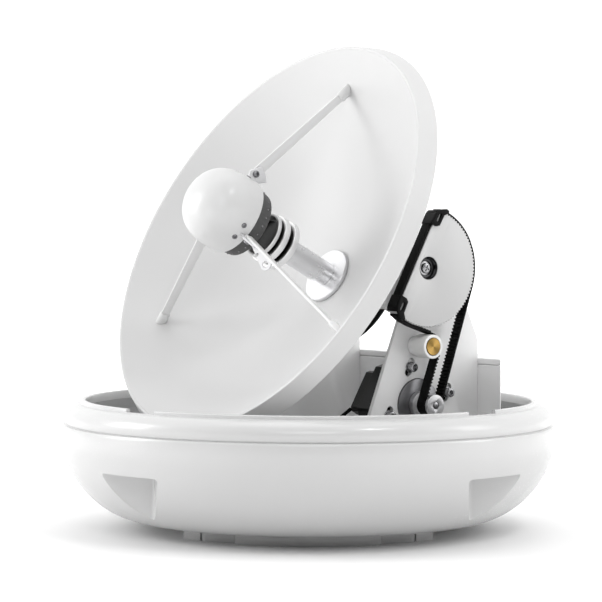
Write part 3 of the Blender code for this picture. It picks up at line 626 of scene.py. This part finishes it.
def makeSubreflector():
    back = 0.0174
    cone = turn("subreflectorPlate", [(0, back + 0.0040), (0.010, back + 0.0018), (0.0275, back),
                                      (0.0293, back), (0.0299, back + 0.0006), (0.0308, back + 0.0060),
                                      (0.0319, 0.0327), (0.0319, 0.0357), (0, 0.0357)], 96)
    deliver(cone, "tilting_dish", "greyPlate", ["subreflector"], dishPlace)
    dome = {"radius": 0.0347, "start": 0.0317, "height": 0.0488, "steps": 26}

    def skin(radius, height, steps):
        points = [(radius * max(0, 1 - (k / steps) ** 3.6) ** 0.52, dome["start"] + height * k / steps)
                  for k in range(steps)]
        return points + [(0, dome["start"] + height)]

    inside = skin(dome["radius"] - 0.002, dome["height"] - 0.002, 16)[::-1]
    outside = skin(dome["radius"], dome["height"], dome["steps"])
    shell = turn("subreflectorDome", inside + [(dome["radius"] - 0.0004, dome["start"])] + outside[1:], 96)
    deliver(shell, "tilting_dish", "dome", ["subreflector_dome"], dishPlace)


def screwHead(name, place, radius, height, drive="cross", depth=0.0008):
    head = turn(name, [(0, 0), (radius, 0), (radius, height * 0.55), (radius * 0.92, height * 0.82),
                       (radius * 0.72, height), (0, height)], 32)
    if drive == "cross":
        arms = []
        for angle in (0, pi / 2):
            arm = block("arm", (-radius * 0.62, -radius * 0.13, height - depth),
                        (radius * 0.62, radius * 0.13, 1))
            move(arm, Matrix.Rotation(angle, 4, "Z"))
            arms.append(arm)
        for arm in arms:
            cut(head, arm)
    else:
        socket = [(0, height - depth), (radius * 0.55, height - depth), (radius * 0.55, 1), (0, 1)]
        cut(head, turn("socket", socket, 6))
    move(head, place)
    return head


def makeStruts():
    lugShape = {"start": 0.0435, "end": 0.0700, "wide": 0.0110, "low": 0.0012, "thick": 0.0014,
                "drop": 0.0052}
    for name, angle in (("top", 90), ("left", 210), ("right", 330)):
        around = dishPlace @ Matrix.Rotation(radians(angle), 4, "Z")
        piece = copyNode("strut_" + name)
        soften(piece, 0.0003, 2)
        deliver(piece, "tilting_dish", "feed", ["strut_" + name])
        bracket = copyNode("strut_bracket_" + name)
        soften(bracket, 0.0004, 2)
        if name == "right":
            cut(bracket, makeLug(lugShape, around), "UNION")
        deliver(bracket, "tilting_dish", "satin", ["strut_bracket_" + name])
        edgeOn = Matrix(((1, 0, 0, 0.0412), (0, 0, -1, -0.0034), (0, 1, 0, 0.0325), (0, 0, 0, 1)))
        heads = [screwHead("bracketScrew", around @ edgeOn, 0.0030, 0.0022, "hex", 0.0014)]
        for turnBy in (-12.6, 8.5):
            aside = Matrix.Rotation(radians(turnBy), 4, "Z") @ Matrix.Translation((0.0344, 0, 0.0405)) \
                @ lyingAcross
            heads.append(screwHead("domeScrew", around @ aside, 0.0023, 0.0012))
        deliver(joinAll(heads, "strutScrews_" + name), "tilting_dish", "screw")


def makeLug(shape, around):
    wide, start, end = shape["wide"], shape["start"], shape["end"]
    round1 = arcPoints((end - wide / 2, -wide / 2 - shape["low"]), wide / 2, -90, 90, 14)
    outline = [(start, -shape["low"])] + [(start, -shape["low"] - wide * 0.35)] + round1
    lug = plate("lug", outline, -shape["thick"] / 2, shape["thick"] / 2)
    for along, across, radius in ((end - wide / 2, 0.55, 0.0029), (start + 0.0085, 0.48, 0.0017)):
        hole = turn("lugHole", [(0, -0.01), (radius, -0.01), (radius, 0.01), (0, 0.01)], 28)
        move(hole, Matrix.Translation((along, -shape["low"] - wide * across, 0)))
        cut(lug, hole)
    foot, head = Vector((0.156, 0, dishFront(0.156))), Vector((0.0386, 0, 0.0330))
    lean = atan2(head.z - foot.z, foot.x - head.x)
    place = Matrix.Translation((0.0386, 0, 0.0330 - shape["drop"])) @ Matrix.Rotation(lean, 4, "Y") \
        @ Matrix.Translation((-0.0386, 0, 0))
    move(lug, around @ place)
    return lug


def makeRivets():
    rivets = []
    for number in range(24):
        around = Matrix.Rotation(tau * (number + 0.5) / 24, 4, "Z")
        tilt = Matrix.Translation((0.0307, 0, 0.0222)) @ Matrix.Rotation(radians(97), 4, "Y")
        rivet = turn("rivet", [(0, -0.0004), (0.0007, -0.0004), (0.0007, 0.0002), (0.0004, 0.0005),
                               (0, 0.0005)], 12)
        move(rivet, dishPlace @ around @ tilt)
        rivets.append(rivet)
    deliver(joinAll(rivets, "subreflectorRivets"), "tilting_dish", "steel")


def deliverCopy(node, width, body, material, smoothAngle=32):
    piece = copyNode(node)
    soften(piece, width, 2)
    return deliver(piece, body, material, [node], smoothAngle=smoothAngle)


def slotOutline(middle, half, radius, lean):
    along = (sin(radians(lean)), cos(radians(lean)))
    ends = []
    for side, start in ((1, 90 - lean - 90), (-1, 90 - lean + 90)):
        centre = (middle[0] + side * half * along[0], middle[1] + side * half * along[1])
        ends += arcPoints(centre, radius, start, start + 180, 10)
    return ends


def makeNearPlate():
    near = {"outer": 0.087, "thick": 0.004, "screwCircle": 0.0333, "screwAngle": 15.5, "slotHalf": 0.0050,
            "slotRadius": 0.0034, "lean": 21.6}
    piece = copyNode("side_plate_near")
    soften(piece, 0.0004, 2)
    heads, washers = [], []
    for quarter in range(4):
        angle = radians(near["screwAngle"] + 90 * quarter)
        spot = (motorAxis["behind"] + near["screwCircle"] * cos(angle),
                motorAxis["height"] + near["screwCircle"] * sin(angle))
        hole = plate("slotCut", slotOutline(spot, near["slotHalf"], near["slotRadius"], near["lean"]),
                     near["outer"] - near["thick"] - 0.001, near["outer"] + 0.001)
        move(hole, turned @ sideways)
        cut(piece, hole)
        seat = turned @ sideways @ Matrix.Translation((*spot, near["outer"] + 0.0002))
        washer = turn("washer", [(0.0027, 0), (0.0046, 0), (0.0048, 0.0002), (0.0048, 0.0010),
                                 (0.0046, 0.0012), (0.0027, 0.0012)], 40, ring=True)
        move(washer, seat)
        washers.append(washer)
        lift = Matrix.Translation((0, 0, 0.0013))
        heads.append(socketScrew(seat @ lift))
    deliver(piece, "turning_frame", "plate", ["side_plate_near"])
    deliver(joinAll(heads + washers, "motorScrews"), "turning_frame", "steel")


def socketScrew(place):
    head = turn("socketHead", [(0, 0), (0.0038, 0), (0.0040, 0.0002), (0.0040, 0.0044), (0.0036, 0.0050),
                               (0, 0.0050)], 40)
    cut(head, turn("socketCut", [(0, 0.0024), (0.0023, 0.0024), (0.0023, 0.0060), (0, 0.0060)], 6))
    shank = turn("shank", [(0, -0.0060), (0.0024, -0.0060), (0.0024, 0.0006), (0, 0.0006)], 24)
    cut(head, shank, "UNION")
    soften(head, 0.0001, 1, 50)
    move(head, place)
    return head


def makeFrame():
    for node, width in (("turntable_plate", 0.0006), ("side_plate_far", 0.0004), ("idler_post", 0.0004)):
        deliverCopy(node, width, "turning_frame", "plate")
    deliverCopy("rear_housing", 0.0010, "turning_frame", "housing", 20)
    deliverCopy("rear_housing_lid", 0.0010, "turning_frame", "lid", 20)
    makeNearPlate()
    deliverCopy("elevation_motor", 0.0007, "turning_frame", "blackPaint")
    deliver(copyNode("motor_lead"), "turning_frame", "rubber", ["motor_lead"],
            smoothAngle=60)
    for node in ("pivot_bearing_near", "pivot_bearing_far"):
        deliverCopy(node, 0.0003, "turning_frame", "greyMetal")
    deliverCopy("motor_pilot", 0.0004, "turning_frame", "darkSteel")
    deliverCopy("yoke_plate", 0.0006, "tilting_dish", "plate")
    for node in ("pivot_shaft_near", "pivot_shaft_far"):
        deliverCopy(node, 0.0004, "tilting_dish", "greyMetal")
    lift = pivotPlace @ lyingAcross @ Matrix.Translation((0, 0, 0.1031))
    screw = screwHead("pivotScrew", lift, 0.0046, 0.0022, "cross", 0.0012)
    deliver(screw, "tilting_dish", "steel")
    deliverCopy("receiver", 0.0006, "tilting_dish", "blackPaint")


drive = {"toothPitch": 0.0030, "toothDepth": 0.0011, "sectorRadius": 0.0505, "sectorIn": 0.0970,
         "sectorOut": 0.1080, "chord": 0.0138, "bore": 0.0099}


def makeSector():
    s = drive
    teeth = round(tau * (s["sectorRadius"] + 0.0003) / s["toothPitch"])
    deselectAll()
    bpy.ops.mesh.primitive_circle_add(vertices=teeth * 4, radius=s["sectorRadius"], fill_type="NGON",
                                      location=(0, 0, s["sectorIn"]))
    sector = bpy.context.object
    sector.name = "sectorPulley"
    bpy.ops.object.transform_apply()
    bpy.ops.object.mode_set(mode="EDIT")
    selectIn(sector, lambda v: v.index % 4 in (0, 1))
    share = (s["sectorRadius"] - s["toothDepth"]) / s["sectorRadius"]
    bpy.ops.transform.resize(value=(share, share, 1), center_override=(0, 0, s["sectorIn"]))
    bpy.ops.mesh.select_all(action="SELECT")
    thick = s["sectorOut"] - s["sectorIn"]
    bpy.ops.mesh.extrude_region_move(TRANSFORM_OT_translate={"value": (0, 0, thick)})
    bpy.ops.mesh.select_all(action="SELECT")
    bpy.ops.mesh.normals_make_consistent(inside=False)
    bpy.ops.mesh.select_all(action="SELECT")
    bpy.ops.mesh.bisect(plane_co=(0, s["chord"], 0), plane_no=(0, 1, 0), use_fill=True, clear_outer=True)
    closeUp()
    bore = turn("bore", [(s["bore"], s["sectorIn"] - 0.01), (s["bore"], s["sectorOut"] + 0.01)], 64)
    cut(sector, bore)
    soften(sector, 0.0002, 2, 40)
    deliver(sector, "tilting_dish", "sector", ["sector_pulley"], pivotPlace @ sideways)
    bush = copyNode("sector_bush")
    soften(bush, 0.0003, 2)
    # Near-black sleeve lining the sector's bore wall: painted shade inside the bore
    shadeSleeve = turn("boreShadeSleeve", [(0.0093, 0.1036), (0.0097, 0.1036), (0.0097, 0.1076), (0.0095, 0.1078),
                                 (0.0093, 0.1076)], 64, ring=True)
    move(shadeSleeve, pivotPlace @ lyingAcross)
    cut(bush, shadeSleeve, "UNION")
    deliver(bush, "tilting_dish", "boreSteelPaintedShade", ["sector_bush"])
    deliverCopy("belt_tail", 0.0004, "tilting_dish", "rubber")
    for node in ("belt_clamp_upper", "belt_clamp_lower"):
        deliverCopy(node, 0.0004, "tilting_dish", "blackPlastic")


def beltRuns():
    centres = {"sector": (*pivot.values(), 0.05145), "idler": (*idlerAxis.values(), -0.01125),
               "pinion": (*motorAxis.values(), 0.00875)}  # with the radius to the belt's middle
    for start, end in (("sector", "idler"), ("idler", "pinion"), ("pinion", "sector")):
        (x, y, r), (endX, endY, endR) = centres[start], centres[end]
        normal = atan2(endY - y, endX - x) + acos((endR - r) / hypot(endX - x, endY - y))
        left = Vector((cos(normal), sin(normal)))
        yield Vector((x, y)) - r * left, Vector((endX, endY)) - endR * left, left


def makeBelt():
    b = {"pitch": 0.0030, "base": 0.0020, "tip": 0.0012, "depth": 0.0011, "half": 0.00065, "low": 0.0975,
         "high": 0.1075}
    belt = copyNode("drive_belt")
    combs = []
    for start, end, left in beltRuns():
        along = (end - start).normalized()
        count = int((end - start).length / b["pitch"])
        inner, points = b["half"] - 0.0004, []
        for number in range(count):
            middle = (number + 0.5) * b["pitch"]
            root, crest = b["half"] - 0.00002, b["half"] + b["depth"]
            for reach, out in ((-b["base"] / 2, root), (-b["tip"] / 2, crest), (b["tip"] / 2, crest),
                               (b["base"] / 2, root)):
                points.append(start + along * (middle + reach) + left * out)
        points += [start + along * (count * b["pitch"]) + left * inner, start + left * inner]
        combs.append(plate("beltTeeth", [tuple(point) for point in points], b["low"], b["high"]))
        move(combs[-1], turned @ sideways)
    for comb in combs:
        cut(belt, comb, "UNION")
    return belt


def splitBelt(belt):
    wrap = {"start": 4, "split": 22, "end": 75.5, "inner": 0.05085, "outer": 0.05205, "low": 0.0976,
            "high": 0.1074}
    centre = tuple(pivot.values())
    place = turned @ sideways
    cutter = arcPoints(centre, 0.0490, wrap["split"], 82, 12) \
        + arcPoints(centre, 0.0540, 82, wrap["split"], 12)
    gap = plate("beltGap", cutter, wrap["low"] - 0.002, wrap["high"] + 0.002)
    move(gap, place)
    cut(belt, gap)
    outline = arcPoints(centre, wrap["inner"], wrap["start"], wrap["end"], 40) \
        + arcPoints(centre, wrap["outer"], wrap["end"], wrap["start"], 40)
    arc = plate("beltOnSector", outline, wrap["low"], wrap["high"])
    deliver(arc, "tilting_dish", "rubber", place=place)


def makePulleys():
    belt = makeBelt()
    splitBelt(belt)
    deliver(belt, "turning_frame", "rubber", ["drive_belt"])
    roller = turn("idlerRoller", [(0.0078, 0.0942), (0.0099, 0.0942), (0.0103, 0.0946), (0.0103, 0.1114),
                                  (0.0099, 0.1119), (0.0080, 0.1119), (0.0078, 0.1116)], 64, ring=True)
    deliver(roller, "idler", "nylon", ["idler_roller"], axlePlace(idlerAxis))
    pin = turn("idlerPin", [(0, 0.0940), (0.0074, 0.0940), (0.0074, 0.1121), (0.0071, 0.1124),
                            (0, 0.1122)], 64)
    deliver(pin, "turning_frame", "brass", ["idler_pin"], axlePlace(idlerAxis))
    pinion = copyNode("drive_pinion")
    soften(pinion, 0.0002, 2)
    hubScrew = {"along": 0.0920, "angle": radians(115), "radius": 0.0015, "reach": 0.0125}
    spot = axlePlace(motorAxis) @ Matrix.Rotation(hubScrew["angle"], 4, "Z") \
        @ Matrix.Translation((0, 0, hubScrew["along"])) @ lyingAcross
    hole = turn("setScrewHole", [(0, 0.0095), (hubScrew["radius"], 0.0095),
                                 (hubScrew["radius"], hubScrew["reach"]), (0, hubScrew["reach"])], 24)
    move(hole, spot)
    cut(pinion, hole)
    deliver(pinion, "pinion", "aluminium", ["drive_pinion"])
    deliverCopy("motor_shaft", 0.0002, "pinion", "steel")


def makeFloor():
    deselectAll()
    bpy.ops.mesh.primitive_plane_add(size=60)
    floor = bpy.context.object
    floor.name = "studioFloor"
    paint = Paint("paperFloorPaintedLight", Roughness=0.9, Emission_Strength=1.0)
    cloud = paint.noise(paint.place(), 1.5, 2.0)
    paint.feed("Base Color", paint.mixColours(cloud, (0.86, 0.86, 0.86), (0.88, 0.88, 0.88)))
    # Emission grows with distance from the object's centre: painted light on the floor, kept off the floor
    # next to the object
    away = paint.fromAxis(None)
    paintedFloorLight = [(0.10, 0.0), (0.22, 0.12), (0.5, 0.55), (1.0, 0.7)]
    paint.feed("Emission Color", paint.ramp(away * 0.4, paintedFloorLight))
    floor.data.materials.append(paint.material)


setCamera()
setStudio()
makeFloor()
print("stage set")
makeBase()
print("base made")
makeDish()
makeFeed()
makeStruts()
print("dish made")
makeFrame()
print("frame made")
makeSector()
makePulleys()
print("drive made")
